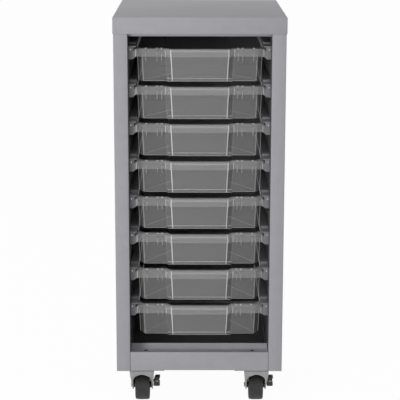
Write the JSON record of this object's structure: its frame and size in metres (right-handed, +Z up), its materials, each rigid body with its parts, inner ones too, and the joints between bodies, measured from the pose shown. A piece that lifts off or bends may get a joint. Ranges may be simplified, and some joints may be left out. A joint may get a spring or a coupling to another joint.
{
  "type": "classroom tray storage unit",
  "caption": "Narrow steel cabinet on swivel casters, open at the front, with clear plastic trays that slide out on side runners.",
  "frame": {"origin": "on the floor under the middle of the cabinet", "axes": "+Z up, the open front faces -Y, +X to the right seen from the front"},
  "size_m": [0.413, 0.481, 0.9814],
  "materials": {
    "body_paint": "light grey powder coat, fine satin texture",
    "interior_black": "matt black powder coat",
    "runner_plastic": "moulded mid grey plastic",
    "tray_clear": "clear moulded plastic",
    "fork_steel": "zinc plated pressed steel",
    "bolt_steel": "bright zinc plate",
    "wheel_rubber": "dark grey rubber tread",
    "rocker_plastic": "black moulded plastic"
  },
  "bodies": {
    "cabinet": {"top_panel": "body_paint", "top_front_rail": "body_paint", "front_sill": "body_paint", "rear_sill": "body_paint", "floor_pan": "interior_black", "back_panel": "interior_black", "left_side_panel": "body_paint", "left_liner": "interior_black", "corner_plate_front_left": "body_paint", "corner_plate_rear_left": "body_paint", "right_side_panel": "body_paint", "right_liner": "interior_black", "corner_plate_front_right": "body_paint", "corner_plate_rear_right": "body_paint", "runner_1_left": "runner_plastic", "runner_1_right": "runner_plastic", "runner_2_left": "runner_plastic", "runner_2_right": "runner_plastic", "runner_3_left": "runner_plastic", "runner_3_right": "runner_plastic", "runner_4_left": "runner_plastic", "runner_4_right": "runner_plastic", "runner_5_left": "runner_plastic", "runner_5_right": "runner_plastic", "runner_6_left": "runner_plastic", "runner_6_right": "runner_plastic", "runner_7_left": "runner_plastic", "runner_7_right": "runner_plastic", "runner_8_left": "runner_plastic", "runner_8_right": "runner_plastic", "caster_mount_front_left": "bolt_steel", "caster_mount_front_right": "bolt_steel", "caster_mount_rear_left": "bolt_steel", "caster_mount_rear_right": "bolt_steel"},
    "tray_1": {"tray_1": "tray_clear"},
    "tray_2": {"tray_2": "tray_clear"},
    "tray_3": {"tray_3": "tray_clear"},
    "tray_4": {"tray_4": "tray_clear"},
    "tray_5": {"tray_5": "tray_clear"},
    "tray_6": {"tray_6": "tray_clear"},
    "tray_7": {"tray_7": "tray_clear"},
    "tray_8": {"tray_8": "tray_clear"},
    "caster_front_left": {"caster_fork_front_left": "fork_steel", "axle_bolt_front_left": "bolt_steel"},
    "wheel_front_left": {"wheel_front_left": "wheel_rubber"},
    "brake_left": {"brake_rocker_left": "rocker_plastic"},
    "caster_front_right": {"caster_fork_front_right": "fork_steel", "axle_bolt_front_right": "bolt_steel"},
    "wheel_front_right": {"wheel_front_right": "wheel_rubber"},
    "brake_right": {"brake_rocker_right": "rocker_plastic"},
    "caster_rear_left": {"caster_fork_rear_left": "fork_steel", "axle_bolt_rear_left": "bolt_steel"},
    "wheel_rear_left": {"wheel_rear_left": "wheel_rubber"},
    "caster_rear_right": {"caster_fork_rear_right": "fork_steel", "axle_bolt_rear_right": "bolt_steel"},
    "wheel_rear_right": {"wheel_rear_right": "wheel_rubber"}
  },
  "joints": [
    {"name": "tray_1_slide", "type": "slide", "parent": "cabinet", "child": "tray_1", "axis": [0, -1, 0], "range_m": [0, 0.3]},
    {"name": "tray_2_slide", "type": "slide", "parent": "cabinet", "child": "tray_2", "axis": [0, -1, 0], "range_m": [0, 0.3]},
    {"name": "tray_3_slide", "type": "slide", "parent": "cabinet", "child": "tray_3", "axis": [0, -1, 0], "range_m": [0, 0.3]},
    {"name": "tray_4_slide", "type": "slide", "parent": "cabinet", "child": "tray_4", "axis": [0, -1, 0], "range_m": [0, 0.3]},
    {"name": "tray_5_slide", "type": "slide", "parent": "cabinet", "child": "tray_5", "axis": [0, -1, 0], "range_m": [0, 0.3]},
    {"name": "tray_6_slide", "type": "slide", "parent": "cabinet", "child": "tray_6", "axis": [0, -1, 0], "range_m": [0, 0.3]},
    {"name": "tray_7_slide", "type": "slide", "parent": "cabinet", "child": "tray_7", "axis": [0, -1, 0], "range_m": [0, 0.3]},
    {"name": "tray_8_slide", "type": "slide", "parent": "cabinet", "child": "tray_8", "axis": [0, -1, 0], "range_m": [0, 0.3]},
    {"name": "caster_front_left_swivel", "type": "hinge", "parent": "cabinet", "child": "caster_front_left", "pos_m": [-0.144, -0.178, 0.09], "axis": [0, 0, 1], "continuous": true},
    {"name": "wheel_front_left_spin", "type": "hinge", "parent": "caster_front_left", "child": "wheel_front_left", "pos_m": [-0.144, -0.154, 0.0375], "axis": [1, 0, 0], "continuous": true},
    {"name": "brake_left_press", "type": "hinge", "parent": "caster_front_left", "child": "brake_left", "pos_m": [-0.1106, -0.154, 0.0485], "axis": [0, -1, 0], "range_deg": [0, 10]},
    {"name": "caster_front_right_swivel", "type": "hinge", "parent": "cabinet", "child": "caster_front_right", "pos_m": [0.144, -0.178, 0.09], "axis": [0, 0, 1], "continuous": true},
    {"name": "wheel_front_right_spin", "type": "hinge", "parent": "caster_front_right", "child": "wheel_front_right", "pos_m": [0.144, -0.154, 0.0375], "axis": [1, 0, 0], "continuous": true},
    {"name": "brake_right_press", "type": "hinge", "parent": "caster_front_right", "child": "brake_right", "pos_m": [0.1774, -0.154, 0.0485], "axis": [0, -1, 0], "range_deg": [0, 10]},
    {"name": "caster_rear_left_swivel", "type": "hinge", "parent": "cabinet", "child": "caster_rear_left", "pos_m": [-0.144, 0.178, 0.09], "axis": [0, 0, 1], "continuous": true},
    {"name": "wheel_rear_left_spin", "type": "hinge", "parent": "caster_rear_left", "child": "wheel_rear_left", "pos_m": [-0.144, 0.202, 0.0375], "axis": [1, 0, 0], "continuous": true},
    {"name": "caster_rear_right_swivel", "type": "hinge", "parent": "cabinet", "child": "caster_rear_right", "pos_m": [0.144, 0.178, 0.09], "axis": [0, 0, 1], "continuous": true},
    {"name": "wheel_rear_right_spin", "type": "hinge", "parent": "caster_rear_right", "child": "wheel_rear_right", "pos_m": [0.144, 0.202, 0.0375], "axis": [1, 0, 0], "continuous": true}
  ]
}
